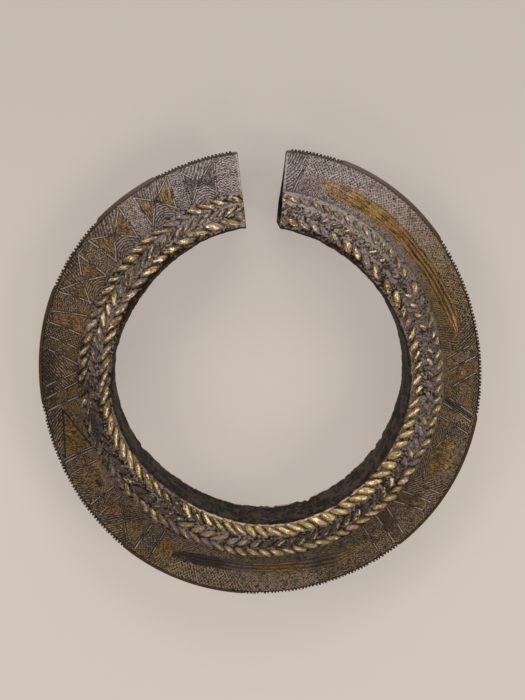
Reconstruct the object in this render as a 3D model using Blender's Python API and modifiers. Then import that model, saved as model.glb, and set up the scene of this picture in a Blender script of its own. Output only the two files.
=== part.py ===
# Hollow cast bangle: an open ring with a swollen inner side, three rows of slanting leaves
# round the wrist hole, a wide engraved flange and a keel at the outer edge.
# It lies flat with its ring axis along Z and its opening towards +Y.
# Lengths are metres and angles are radians, unless a name says otherwise.

import math

import bmesh
import bpy
import numpy as np

# Driving dimensions
keelRadius = 0.050
boreRadius = 0.0322
rimHeight = 0.0083
crestHeight = 0.0097
keelHeight = 0.0009
beltHeight = 0.0021
wall = 0.0017
gapDegrees = 12.4
flankCurve = 1.9
cornerRadius = 0.0011

# Rows of leaves on the upper face, from the wrist hole outwards
leafCount = 87
rowWidthC = 0.0026
rowWidthB = 0.0022
rowWidthA = 0.0021
leafRise = 0.0009
leafSlant = 0.55

# Plain edging beside the wrist hole, and the milled belt beside the keel
cordWidth = 0.0010
cordRise = 0.0003
grooveDepth = 0.00035
beltWidth = 0.0008
beltStep = 0.00025
keelRounding = 0.0005

# Plainer underside: a worn flat land at the crest and raised rings
landWidth = 0.0016
ringCount = 3
ringPitch = 0.0013
ringRise = 0.0005

# Casting hole through the upper wall of the flange
slotDegrees = 236.7
slotInset = 0.0061
slotLength = 0.0012
slotWidth = 0.0006

# Fineness of the sections and of the hollow's mesh
fieldSteps = 5
hollowSteps = 58
overrunDegrees = 2.0

# The hollow's section as multiples of the wall: depth below the crest, below the sloping flank,
# and the half depth and nose of its thin outer end
crestWalls = 1.2
flankWalls = 1.35
noseWalls = 0.3

# The ring is slightly out of round: harmonic number, cosine share and sine share of the radius
keelWarp = ((2, 0.0102, 0.0), (3, -0.0012, 0.0029), (4, -0.0027, 0.0059))
boreWarp = ((1, 0.0149, -0.0073), (2, 0.0025, -0.0022), (3, 0.0058, 0.0039), (4, 0.0097, -0.0047))


def flankHeight(radius):
    """Half depth of the flank: it falls away from the crest and flattens towards the keel."""
    crestRadius = boreRadius + cordWidth + rowWidthC + rowWidthB * 0.5
    beltRadius = keelRadius - beltWidth
    share = min(max((radius - crestRadius) / (beltRadius - crestRadius), 0.0), 1.0)
    fall = (1.0 - share) ** flankCurve
    return beltHeight + (crestHeight - beltHeight) * fall


def rowRadii():
    """Radii of the four boundaries of the three rows of leaves."""
    first = boreRadius + cordWidth
    second = first + rowWidthC
    third = second + rowWidthB
    return first, second, third, third + rowWidthA


def upperProfile():
    """Upper half of the section, from the keel in over the crest and down the wrist hole."""
    first, second, third, fourth = rowRadii()
    beltInner = keelRadius - beltWidth
    fieldOuter = beltInner - beltStep
    points = [
        (keelRadius, keelHeight * 0.5),
        (keelRadius - keelRounding * 0.4, keelHeight),
        (keelRadius - keelRounding, keelHeight + keelRounding * 0.6),
        (beltInner, flankHeight(beltInner)),
        (fieldOuter, flankHeight(fieldOuter) - beltStep),
    ]
    fieldInner = fourth + grooveDepth
    for step in range(1, fieldSteps + 1):
        radius = fieldOuter + (fieldInner - fieldOuter) * step / fieldSteps
        points.append((radius, flankHeight(radius) - beltStep))
    points.append((fourth, flankHeight(fourth)))
    points.append((third, flankHeight(third)))
    points.append((second, crestHeight - grooveDepth * 0.5))
    points.append((first, rimHeight + grooveDepth))
    points.append((first - cordWidth * 0.25, rimHeight + cordRise))
    points.append((first - cordWidth * 0.75, rimHeight))
    points.append((boreRadius, rimHeight - cordWidth))
    points.append((boreRadius, rimHeight * 0.3))
    return points


def lowerProfile():
    """Lower half of the section, from the wrist hole round the worn land out to the keel."""
    first, second, third, fourth = rowRadii()
    crest = (second + third) * 0.5
    points = [
        (boreRadius, -rimHeight * 0.3),
        (boreRadius, cordWidth - rimHeight),
        (first - cordWidth * 0.5, -rimHeight - cordRise),
        (first, -rimHeight - grooveDepth),
        (crest - landWidth, -crestHeight + ringRise),
        (crest - landWidth * 0.5, -crestHeight),
        (crest + landWidth * 0.5, -crestHeight),
    ]
    start = crest + landWidth
    for ring in range(ringCount):
        valley = start + ring * ringPitch
        ridge = valley + ringPitch * 0.5
        points.append((valley, ringRise * 0.5 - flankHeight(valley)))
        points.append((ridge, -flankHeight(ridge) - ringRise * 0.5))
    fieldInner = start + ringCount * ringPitch
    beltInner = keelRadius - beltWidth
    for step in range(fieldSteps):
        radius = fieldInner + (beltInner - fieldInner) * step / fieldSteps
        points.append((radius, beltStep - flankHeight(radius)))
    points.append((beltInner, -beltHeight))
    points.append((keelRadius - keelRounding, -keelHeight - keelRounding * 0.6))
    points.append((keelRadius - keelRounding * 0.4, -keelHeight))
    points.append((keelRadius, -keelHeight * 0.5))
    return points


def hollowProfile():
    """Section of the hollow: the outer section drawn in by one wall."""
    first, second, third, fourth = rowRadii()
    crest = (second + third) * 0.5
    inner = boreRadius + wall
    upper = [
        (inner, 0.0),
        (inner, rimHeight - wall * crestWalls),
        (second, crestHeight - wall * crestWalls),
        (crest, crestHeight - wall * crestWalls),
    ]
    nose = keelRadius - beltWidth - wall
    for step in range(1, fieldSteps + 1):
        radius = crest + (nose - crest) * step / fieldSteps
        depth = max(flankHeight(radius) - wall * flankWalls, wall * noseWalls)
        upper.append((radius, depth))
    upper.append((nose + wall * noseWalls, 0.0))
    lower = [(radius, -height) for radius, height in upper[-2:0:-1]]
    return upper + lower


def warpShare(terms, angle):
    """Sum of a few harmonics of the angle, as a share of the radius."""
    return sum(cosine * math.cos(order * angle) + sine * math.sin(order * angle)
               for order, cosine, sine in terms)


def warpPoint(radius, angle):
    """Radius after warping: the bore's warp at the wrist hole, blending to the keel's."""
    blend = (radius - boreRadius) / (keelRadius - boreRadius)
    share = warpShare(boreWarp, angle) * (1.0 - blend) + warpShare(keelWarp, angle) * blend
    return radius * (1.0 + share)


def makeObject(name, mesh, collection):
    """Link a new object for the mesh to the collection."""
    item = bpy.data.objects.new(name, mesh)
    collection.objects.link(item)
    return item


def sweptRing(name, profile, steps, sweepDegrees, collection):
    """Turn a closed section about Z with a Screw modifier and return the open-ended mesh."""
    outline = bpy.data.meshes.new(name)
    points = [(radius, 0.0, height) for radius, height in profile]
    edges = [(index, (index + 1) % len(points)) for index in range(len(points))]
    outline.from_pydata(points, edges, [])
    item = makeObject(name, outline, collection)
    screw = item.modifiers.new("Sweep", "SCREW")
    screw.angle = math.radians(sweepDegrees)
    screw.steps = steps
    screw.render_steps = steps
    screw.use_merge_vertices = False
    screw.merge_threshold = 0.00001
    bpy.context.view_layer.update()
    evaluated = item.evaluated_get(bpy.context.evaluated_depsgraph_get())
    swept = bpy.data.meshes.new_from_object(evaluated)
    item.modifiers.clear()
    item.data = swept
    bpy.data.meshes.remove(outline)
    return item


def cylindrical(point):
    """Radius and angle of a point, the angle measured clockwise from +Y seen from above."""
    return math.hypot(point.x, point.y), math.atan2(point.x, point.y) % (2.0 * math.pi)


def placePoint(point, radius, angle):
    """Move a point to a radius and an angle."""
    point.x = radius * math.sin(angle)
    point.y = radius * math.cos(angle)


def partCorners(mesh):
    """Join the belt's upper and lower inner edge at both ends, so that the end face stays flat."""
    beltInner = keelRadius - beltWidth
    for sign in (1.0, -1.0):
        pair = []
        for vert in mesh.verts:
            onBelt = abs(math.hypot(vert.co.x, vert.co.y) - beltInner) < 0.00001
            if vert.is_boundary and onBelt and vert.co.x * sign > 0.0:
                pair.append(vert)
        mesh.edges.new(pair)


def closeEnds(mesh):
    """Fill both open ends and turn every face outwards."""
    ends = [edge for edge in mesh.edges if edge.is_boundary or edge.is_wire]
    bmesh.ops.edgenet_fill(mesh, edges=ends)
    bmesh.ops.recalc_face_normals(mesh, faces=mesh.faces)


def rotateToGap(mesh, sweepDegrees):
    """Turn the sweep so that its missing part is centred on +Y."""
    start = math.radians(360.0 - sweepDegrees) * 0.5
    sweep = math.radians(sweepDegrees)
    for vert in mesh.verts:
        radius = math.hypot(vert.co.x, vert.co.y)
        turned = math.atan2(vert.co.y, vert.co.x) % (2.0 * math.pi)
        if turned > sweep + 0.001:
            turned = 0.0
        placePoint(vert.co, radius, start + turned)


def slantRows(mesh):
    """Slide the row boundaries along the ring, left and right by turns, to slant the leaves."""
    first, second, third, fourth = rowRadii()
    slides = ((first, 1.0), (second, -1.0), (third, 1.0), (fourth, -1.0))
    sweep = math.radians(360.0 - gapDegrees)
    pitch = sweep / leafCount
    start = math.radians(gapDegrees) * 0.5
    for vert in mesh.verts:
        radius, angle = cylindrical(vert.co)
        inside = start + pitch * 0.5 < angle < start + sweep - pitch * 0.5
        if vert.co.z > 0.0 and inside:
            slide = sum(way for edge, way in slides if abs(edge - radius) < 0.00001)
            placePoint(vert.co, radius, angle + slide * leafSlant * pitch * 0.5)


def raiseLeaves(mesh):
    """Raise one ridged leaf on each cell of the three rows."""
    first, second, third, fourth = rowRadii()
    for inner, outer in ((first, second), (second, third), (third, fourth)):
        cells = []
        for face in mesh.faces:
            radii = [cylindrical(vert.co)[0] for vert in face.verts]
            above = all(vert.co.z > 0.0 for vert in face.verts)
            fits = abs(min(radii) - inner) < 0.00001 and abs(max(radii) - outer) < 0.00001
            if above and fits and len(face.verts) == 4:
                cells.append(face)
        bmesh.ops.poke(mesh, faces=cells, offset=leafRise)


def roundCorners(mesh):
    """Round the outer corner of both terminals, seen from above, with a quarter circle."""
    halfGap = math.radians(gapDegrees) * 0.5
    arcCentre = keelRadius - cornerRadius
    for vert in mesh.verts:
        radius, angle = cylindrical(vert.co)
        onEnd = min(abs(angle - halfGap), abs(2.0 * math.pi - angle - halfGap)) < 0.0001
        if onEnd and radius > arcCentre:
            rise = min((radius - arcCentre) / cornerRadius, 1.0)
            back = cornerRadius * (1.0 - math.sqrt(1.0 - rise * rise)) / radius
            placePoint(vert.co, radius, angle + (back if angle < math.pi else -back))


def warpMesh(mesh):
    """Take the ring slightly out of round."""
    for vert in mesh.verts:
        radius, angle = cylindrical(vert.co)
        placePoint(vert.co, warpPoint(radius, angle), angle)


def makeBody(collection):
    """The cast ring before it is hollowed."""
    sweepDegrees = 360.0 - gapDegrees
    item = sweptRing("bangle", upperProfile() + lowerProfile(), leafCount, sweepDegrees, collection)
    mesh = bmesh.new()
    mesh.from_mesh(item.data)
    rotateToGap(mesh, sweepDegrees)
    slantRows(mesh)
    raiseLeaves(mesh)
    roundCorners(mesh)
    partCorners(mesh)
    closeEnds(mesh)
    warpMesh(mesh)
    mesh.to_mesh(item.data)
    mesh.free()
    return item


def makeHollow(collection):
    """The space inside the ring, run on past both open ends."""
    sweepDegrees = 360.0 - gapDegrees + 2.0 * overrunDegrees
    item = sweptRing("hollow", hollowProfile(), hollowSteps, sweepDegrees, collection)
    mesh = bmesh.new()
    mesh.from_mesh(item.data)
    rotateToGap(mesh, sweepDegrees)
    closeEnds(mesh)
    warpMesh(mesh)
    mesh.to_mesh(item.data)
    mesh.free()
    return item


def makeSlot(collection):
    """A small casting hole from the upper face into the hollow."""
    angle = math.radians(slotDegrees)
    radius = keelRadius - slotInset
    mesh = bmesh.new()
    bmesh.ops.create_cube(mesh, size=1.0)
    bmesh.ops.scale(mesh, vec=(slotLength, slotWidth, crestHeight), verts=mesh.verts)
    data = bpy.data.meshes.new("slot")
    mesh.to_mesh(data)
    mesh.free()
    item = makeObject("slot", data, collection)
    item.location = (radius * math.sin(angle), radius * math.cos(angle), crestHeight * 0.5)
    item.rotation_euler = (0.0, 0.0, -angle)
    return item


def cutAway(item, cutter):
    """Subtract the cutter with an exact Boolean."""
    cutter.hide_render = True
    cutter.display_type = "WIRE"
    boolean = item.modifiers.new(cutter.name, "BOOLEAN")
    boolean.operation = "DIFFERENCE"
    boolean.solver = "EXACT"
    boolean.object = cutter


def patinaMetal():
    """Dark brown cast copper alloy."""
    material = bpy.data.materials.new("patinaMetal")
    material.use_nodes = True
    shader = material.node_tree.nodes["Principled BSDF"]
    shader.inputs["Base Color"].default_value = (0.13, 0.095, 0.07, 1.0)
    shader.inputs["Metallic"].default_value = 0.8
    shader.inputs["Roughness"].default_value = 0.45
    material.diffuse_color = (0.13, 0.095, 0.07, 1.0)
    return material


def main():
    for item in list(bpy.data.objects):
        bpy.data.objects.remove(item, do_unlink=True)
    parts = bpy.data.collections.new("hollow_bangle")
    cutters = bpy.data.collections.new("cutters")
    bpy.context.scene.collection.children.link(parts)
    bpy.context.scene.collection.children.link(cutters)
    body = makeBody(parts)
    hollow = makeHollow(cutters)
    slot = makeSlot(cutters)
    cutAway(body, hollow)
    cutAway(body, slot)
    body.data.materials.append(patinaMetal())
    corners = np.array([vert.co for vert in body.data.vertices])
    low = corners.min(axis=0)
    high = corners.max(axis=0)
    shift = (-(low[0] + high[0]) * 0.5, -(low[1] + high[1]) * 0.5, -low[2])
    for item in (body, hollow, slot):
        item.location = [place + move for place, move in zip(item.location, shift)]
    body.data.shade_smooth()
    body.data.set_sharp_from_angle(angle=math.radians(30.0))


main()
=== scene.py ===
import math

import bpy
import numpy as np
from mathutils import Matrix, Vector


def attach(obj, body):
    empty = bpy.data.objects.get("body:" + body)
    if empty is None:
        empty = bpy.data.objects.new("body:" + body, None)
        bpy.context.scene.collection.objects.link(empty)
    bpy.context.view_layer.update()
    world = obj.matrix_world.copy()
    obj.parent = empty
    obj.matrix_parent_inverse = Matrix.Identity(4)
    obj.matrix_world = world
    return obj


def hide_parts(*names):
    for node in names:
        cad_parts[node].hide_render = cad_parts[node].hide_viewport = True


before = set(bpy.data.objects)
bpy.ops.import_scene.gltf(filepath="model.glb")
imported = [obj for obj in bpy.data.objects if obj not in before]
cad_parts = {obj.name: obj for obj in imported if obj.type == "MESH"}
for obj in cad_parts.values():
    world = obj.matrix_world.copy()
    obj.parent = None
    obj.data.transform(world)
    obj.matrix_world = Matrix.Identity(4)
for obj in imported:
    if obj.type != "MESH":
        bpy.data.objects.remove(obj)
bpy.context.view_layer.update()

# the cast ring that every piece follows: metres, and degrees clockwise from the opening
ring = dict(
    keelRadius=0.050, boreRadius=0.0322, rimHeight=0.0083, crestHeight=0.0097,
    keelHeight=0.0009, beltHeight=0.0021, beltWidth=0.0008, beltStep=0.00025,
    cordWidth=0.0010, rowWidths=(0.0026, 0.0022, 0.0021), grooveDepth=0.00035,
    landWidth=0.0016, ringCount=3, ringPitch=0.0013, ringRise=0.0005,
    wall=0.0017, gapDegrees=12.4, flankCurve=1.9, cornerRadius=0.0011, pathSteps=88,
    keelWarp=((2, 0.0102, 0.0), (3, -0.0012, 0.0029), (4, -0.0027, 0.0059)),
    boreWarp=((1, 0.0149, -0.0073), (2, 0.0025, -0.0022), (3, 0.0058, 0.0039), (4, 0.0097, -0.0047)),
)
rowEdges = ring["boreRadius"] + ring["cordWidth"] + np.cumsum((0.0,) + ring["rowWidths"])
crestRadius = (rowEdges[1] + rowEdges[2]) / 2
beltInner = ring["keelRadius"] - ring["beltWidth"]
halfGap = ring["gapDegrees"] / 2
millimetre = 0.001
arcRadius = 45  # patterns measure the way round the ring as millimetres of arc at this radius


# sum of the harmonics in terms, as a share of the radius
def warpShare(terms, angle):
    return sum(c * np.cos(k * angle) + s * np.sin(k * angle) for k, c, s in terms)


# radius after the ring's slight out of round: the bore's warp blends into the keel's
def warped(radius, angle):
    share = (radius - ring["boreRadius"]) / (ring["keelRadius"] - ring["boreRadius"])
    inner = warpShare(ring["boreWarp"], angle)
    outer = warpShare(ring["keelWarp"], angle)
    return radius * (1 + inner * (1 - share) + outer * share)


# the solid is centred on its own box, so the ring's centre stands a little off the origin
def findCentre():
    half = math.radians(halfGap)
    corner = ring["cornerRadius"] / ring["keelRadius"]
    angle = half + np.linspace(0, 1, ring["pathSteps"]) * (2 * math.pi - 2 * half)
    angle[[0, -1]] += (corner, -corner)
    radius = warped(ring["keelRadius"], angle)
    x, y = radius * np.sin(angle), radius * np.cos(angle)
    return -(x.min() + x.max()) / 2, -(y.min() + y.max()) / 2


centreX, centreY = findCentre()


# metres in the frame, from ring radius, ring angle and height above the ring's middle plane
def toFrame(radius, angle, height):
    far = warped(radius, angle)
    x = far * np.sin(angle) + centreX
    y = far * np.cos(angle) + centreY
    return np.stack(np.broadcast_arrays(x, y, height + ring["crestHeight"]), -1)


# half depth of the flank: falls from the crest as a power curve and flattens at the belt
def flank(radius):
    share = np.clip((radius - crestRadius) / (beltInner - crestRadius), 0, 1)
    return ring["beltHeight"] + (ring["crestHeight"] - ring["beltHeight"]) * (1 - share) ** ring["flankCurve"]


# smooth step from 0 at low to 1 at high
def rise(value, low, high):
    t = np.clip((value - low) / (high - low), 0, 1)
    return t * t * (3 - 2 * t)


# smooth noise in -1..1: fixed random values at whole u and v, joined by smooth steps
def lattice(u, v, seed):
    size = 256
    table = np.random.default_rng(seed).uniform(-1, 1, (size, size))
    i, j = np.floor(u).astype(int), np.floor(v).astype(int)
    s, t = rise(u - i, 0, 1), rise(v - j, 0, 1)
    near = table[i % size, j % size] * (1 - s) + table[(i + 1) % size, j % size] * s
    far = table[i % size, (j + 1) % size] * (1 - s) + table[(i + 1) % size, (j + 1) % size] * s
    return near * (1 - t) + far * t


# three octaves of that noise, each about twice as fine and half as strong
def clouds(u, v, seed):
    total = lattice(u, v, seed) * 0.6 + lattice(u * 2.1, v * 2.1, seed + 1) * 0.3
    return total + lattice(u * 4.3, v * 4.3, seed + 2) * 0.15


# value at each place from a table of (degrees, value) pairs, straight between them
def fromTable(degrees, table):
    return np.interp(degrees, [row[0] for row in table], [row[1] for row in table])


# faces between neighbouring rings of a rows by columns grid, columns joined up, as quads
def bandFaces(rows, columns, first=0, flip=False):
    i, j = np.meshgrid(np.arange(rows - 1), np.arange(columns), indexing="ij")
    k = (j + 1) % columns
    quads = np.stack([i * columns + j, i * columns + k, (i + 1) * columns + k, (i + 1) * columns + j], -1)
    quads = quads.reshape(-1, 4) + first
    return quads[:, ::-1] if flip else quads


# a mesh piece from points, quads, then flat faces, and named values for each point
def makePiece(name, points, quads, flat=(), marks=None):
    mesh = bpy.data.meshes.new(name)
    points = np.ascontiguousarray(points.reshape(-1, 3), dtype=np.float32)
    groups = [np.asarray(group, dtype=np.int32) for group in (quads, *flat)]
    corners = np.concatenate([group.ravel() for group in groups])
    sizes = np.concatenate([np.full(len(group), group.shape[1]) for group in groups])
    mesh.vertices.add(len(points))
    mesh.vertices.foreach_set("co", points.ravel())
    mesh.loops.add(len(corners))
    mesh.loops.foreach_set("vertex_index", corners)
    mesh.polygons.add(len(sizes))
    mesh.polygons.foreach_set("loop_start", np.concatenate([[0], np.cumsum(sizes)[:-1]]).astype(np.int32))
    mesh.polygons.foreach_set("use_smooth", np.arange(len(sizes)) < len(quads))
    mesh.update(calc_edges=True)
    for key, values in (marks or {}).items():
        kind, field = ("FLOAT_VECTOR", "vector") if values.shape[-1] == 3 else ("FLOAT", "value")
        layer = mesh.attributes.new(key, kind, "POINT")
        layer.data.foreach_set(field, np.ascontiguousarray(values, dtype=np.float32).ravel())
    mesh.validate()
    piece = bpy.data.objects.new(name, mesh)
    bpy.context.scene.collection.objects.link(piece)
    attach(piece, "root")
    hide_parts("bangle")
    print(name, len(points), "points,", int((sizes - 2).sum()), "triangles")
    return piece


# track: millimetres round the ring, out from its centre and up, for finishes that run along the surface
def trackOf(turn, far, up):
    return np.stack([turn * arcRadius, far / millimetre, up / millimetre], -1).reshape(-1, 3)


# a closed slab from top columns, then the underside's columns: joined round, and capped flat at both ends
def makeSlab(name, turn, far, up, under, marks):
    lowFar, lowUp = under
    lowTurn = np.repeat(turn[:, :1], len(lowFar), 1)
    allTurn = np.concatenate([turn, lowTurn], 1)
    allFar = np.concatenate([far, np.broadcast_to(lowFar, lowTurn.shape)], 1)
    allUp = np.concatenate([up, np.broadcast_to(lowUp, lowTurn.shape)], 1)
    rows, columns = allFar.shape
    points = toFrame(allFar, cornered(allTurn, allFar), allUp)
    ends = [np.arange(columns)[None, ::-1], (rows - 1) * columns + np.arange(columns)[None]]
    padding = np.zeros(lowTurn.shape)
    fields = {key: np.concatenate([value, padding], 1).reshape(-1, 1) for key, value in marks.items()}
    fields["track"] = trackOf(allTurn, allFar, allUp)
    return makePiece(name, points, bandFaces(rows, columns), flat=ends, marks=fields)


# one output socket: arithmetic on it adds Math nodes
class Signal:
    def __init__(self, net, socket):
        self.net = net
        self.socket = socket

    def maths(self, operation, first, second):
        return self.net.add("ShaderNodeMath", dict(operation=operation), {0: first, 1: second})

    def __add__(self, other):
        return self.maths("ADD", self, other)

    def __sub__(self, other):
        return self.maths("SUBTRACT", self, other)

    def __mul__(self, other):
        return self.maths("MULTIPLY", self, other)

    def __rsub__(self, other):
        return self.maths("SUBTRACT", other, self)

    __radd__ = __add__
    __rmul__ = __mul__

    def clamp(self):
        return self.net.add("ShaderNodeMath", dict(operation="ADD", use_clamp=True), {0: self, 1: 0.0})

    def step(self, low, high):
        inputs = {"Value": self, "From Min": low, "From Max": high}
        return self.net.add("ShaderNodeMapRange", dict(interpolation_type="SMOOTHSTEP"), inputs)


# the node tree of one material
class Net:
    def __init__(self, name):
        self.material = bpy.data.materials.new(name)
        self.material.use_nodes = True
        self.tree = self.material.node_tree
        self.tree.nodes.clear()

    # any node: its type, its settings, then values or signals for its inputs
    def add(self, kind, settings=None, inputs=None, output=0):
        node = self.tree.nodes.new(kind)
        for key, value in (settings or {}).items():
            setattr(node, key, value)
        for key, value in (inputs or {}).items():
            if isinstance(value, Signal):
                self.tree.links.new(value.socket, node.inputs[key])
            else:
                node.inputs[key].default_value = value
        return Signal(self, node.outputs[output]) if len(node.outputs) else None

    def mark(self, name):
        return self.add("ShaderNodeAttribute", dict(attribute_name=name), output="Fac")

    def along(self, name, stretch):
        vector = self.add("ShaderNodeAttribute", dict(attribute_name=name), output="Vector")
        return self.add("ShaderNodeVectorMath", dict(operation="MULTIPLY"), {0: vector, 1: stretch})

    def noise(self, vector, scale, detail=3.0, rough=0.55):
        inputs = {"Vector": vector, "Scale": scale, "Detail": detail, "Roughness": rough}
        return self.add("ShaderNodeTexNoise", None, inputs, output="Fac")

    def place(self):
        return self.add("ShaderNodeTexCoord", output="Object")

    def mix(self, factor, first, second):
        first = first if isinstance(first, Signal) else (*first, 1.0)
        second = second if isinstance(second, Signal) else (*second, 1.0)
        return self.add("ShaderNodeMix", dict(data_type="RGBA"), {0: factor, 6: first, 7: second}, output=2)

    def bump(self, height, strength, distance):
        inputs = {"Height": height, "Strength": strength, "Distance": distance}
        return self.add("ShaderNodeBump", None, inputs)

    def finish(self, colour, roughness, metallic, normal=None, extra=None):
        inputs = {"Base Color": colour, "Roughness": roughness, "Metallic": metallic}
        if normal is not None:
            inputs["Normal"] = normal
        inputs.update(extra or {})
        shader = self.add("ShaderNodeBsdfPrincipled", None, inputs)
        self.add("ShaderNodeOutputMaterial", None, {"Surface": shader})
        return self.material


# extra stations in a bevel, as shares of it
bevelShares = np.array([0.1, 0.3, 0.6])


# stations in radians between two places in degrees, with a few more in the bevel of a terminal
def stations(start, end, spacing, bevel):
    count = int(round(math.radians(end - start) * crestRadius / spacing))
    near = math.degrees(bevel / crestRadius) * bevelShares
    extra = np.concatenate([halfGap + near, 360 - halfGap - near])
    extra = extra[(extra > start) & (extra < end)]
    return np.radians(np.sort(np.concatenate([np.linspace(start, end, count), extra])))


# depth lost to the rounding of a terminal's edge: a quarter circle of the bevel
def endRound(turn, far, bevel):
    edge = 1 - np.clip(fromEnd(turn, far) / bevel, 0, 1)
    return bevel * (1 - np.sqrt(1 - edge ** 2))


# distance in metres from the nearer terminal, along the arc at the given radius
def fromEnd(angle, radius):
    half = math.radians(halfGap)
    return np.minimum(angle - half, 2 * math.pi - half - angle) * radius


# turn a station back where the terminal's outer corner is rounded: a quarter circle of the corner radius
def cornered(angle, radius):
    share = np.clip((radius - ring["keelRadius"]) / ring["cornerRadius"] + 1, 0, 1)
    back = ring["cornerRadius"] * (1 - np.sqrt(1 - share ** 2)) / radius
    fade = np.clip(1 - fromEnd(angle, radius) / (3 * ring["cornerRadius"]), 0, 1)
    return angle + np.where(angle < math.pi, back, -back) * fade


# where the keel is milled, in degrees from the opening, and how far each stretch fades
milled = ((5.8, 20.5), (53.2, 101.3), (141.9, 184.0), (218.9, 262.0), (293.2, 313.2), (331.7, 354.2))
milledFade = 0.5


# 1 inside the milled stretches, 0 outside
def milledShare(degrees):
    share = np.zeros_like(degrees)
    for start, end in milled:
        begun = rise(degrees, start - milledFade, start + milledFade)
        share = np.maximum(share, begun * rise(degrees, end + milledFade, end - milledFade))
    return share


# the hollow cast body: bore, bed of the leaves, underside and keel, in metres
body = dict(spacing=0.00045, hollowSpacing=0.004, bevel=0.00035, sunk=0.0006, keelCut=0.00055,
            boreDent=0.00010, rimWear=0.00012, innerEdge=0.0331, heart=0.0021, inset=0.00003,
            keelRound=0.0002, shoulder=0.0005, lip=0.0003, cordTop=0.00025, nick=0.0001,
            fieldStart=0.0006, fieldEnd=0.0008, bedMargin=0.0004, hollowSoot=0.4,
            boreFace=0.0324, wornTo=0.0342, bittenTo=0.0339, biteTop=-0.0040, biteFull=-0.0066,
            rimRadius=0.0329, rimSpread=0.00022, farRimHeight=-0.0070, farRimSpread=0.0006,
            rimPale=((6, 0.2), (20, -0.4), (35, -0.5), (54, 0.2), (78, 0.8), (102, 0.3), (222, 0.4),
                     (260, 0.4),
                     (280, 0.2), (294, -0.9), (318, -0.7), (342, 0.1)))

# bites out of the far rim of the bore: degrees, half width in degrees and depth
bites = ((120.5, 0.9, 0.0003), (125.5, 1.2, 0.0004), (143.0, 0.8, 0.0002), (160.6, 1.0, 0.00065),
         (163.0, 1.1, 0.00045), (175.5, 1.2, 0.0003), (181.0, 0.9, 0.00025), (236.0, 1.3, 0.0003))


# height of the leaves' bed over the ring's middle plane: straight between the row boundaries
def bedHeight(radius):
    heights = (ring["rimHeight"] + ring["grooveDepth"], ring["crestHeight"] - ring["grooveDepth"] / 2,
               flank(rowEdges[2]), flank(rowEdges[3]))
    return np.interp(radius, rowEdges, heights)


# key points of the section as radius and height, with the number of steps that follow each
def bodySection():
    keel, bore, rim = ring["keelRadius"] - body["inset"], ring["boreRadius"], ring["rimHeight"]
    high, belt, crest = ring["keelHeight"], ring["beltHeight"], ring["crestHeight"]
    first, second, third, fourth = rowEdges
    cord, groove, land = ring["cordWidth"], ring["grooveDepth"], ring["landWidth"]
    lip, nick, sunk = body["lip"], body["nick"], body["sunk"]
    rounded, shoulder = keel - body["keelRound"], keel - body["shoulder"]
    keys = [(keel, 0.0, 3), (keel, high / 2, 2), (rounded, high, 2), (shoulder, high + lip, 4)]
    keys += [(beltInner, belt, 1), (beltInner - nick, belt - sunk, 6)]
    field = np.linspace(beltInner - body["fieldStart"], fourth + body["fieldEnd"], 5)
    keys += [(r, flank(r) - sunk, 1) for r in field]
    keys += [(fourth + 2 * nick, flank(fourth) - nick, 1), (fourth, flank(fourth), 3),
             (third, flank(third), 3)]
    keys += [(second, crest - groove / 2, 4), (first, rim + groove, 2), (first - cord / 4, rim + lip, 2)]
    keys += [(first - cord / 2, rim + body["cordTop"], 2), (first - cord * 0.8, rim - nick, 2)]
    keys += [(bore, rim - cord, 20), (bore, cord - rim, 2)]
    keys += [(first - cord * 0.8, nick - rim, 2), (first - cord / 2, -rim - lip, 2),
             (first, -rim - groove, 5)]
    keys += [(crestRadius - land, ring["ringRise"] - crest, 3)]
    keys += [(crestRadius - land / 2, -crest, 4), (crestRadius + land / 2, -crest, 3)]
    start = crestRadius + land
    for number in range(ring["ringCount"]):
        valley = start + number * ring["ringPitch"]
        ridge = valley + ring["ringPitch"] / 2
        keys += [(valley, ring["ringRise"] / 2 - flank(valley), 3),
                 (ridge, -flank(ridge) - ring["ringRise"] / 2, 3)]
    field = np.linspace(start + ring["ringCount"] * ring["ringPitch"], beltInner, 7)[:-1]
    keys += [(r, ring["beltStep"] - flank(r), 2) for r in field]
    keys += [(beltInner, -belt, 3), (shoulder, -high - lip, 2), (rounded, -high, 2), (keel, -high / 2, 3)]
    return keys


# samples along the straight lines between the key points
def sampledSection(keys):
    radius, height = [], []
    for (r0, z0, steps), (r1, z1, _) in zip(keys, keys[1:] + keys[:1]):
        t = np.arange(steps) / steps
        radius.append(r0 + (r1 - r0) * t)
        height.append(z0 + (z1 - z0) * t)
    return np.concatenate(radius), np.concatenate(height)


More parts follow.
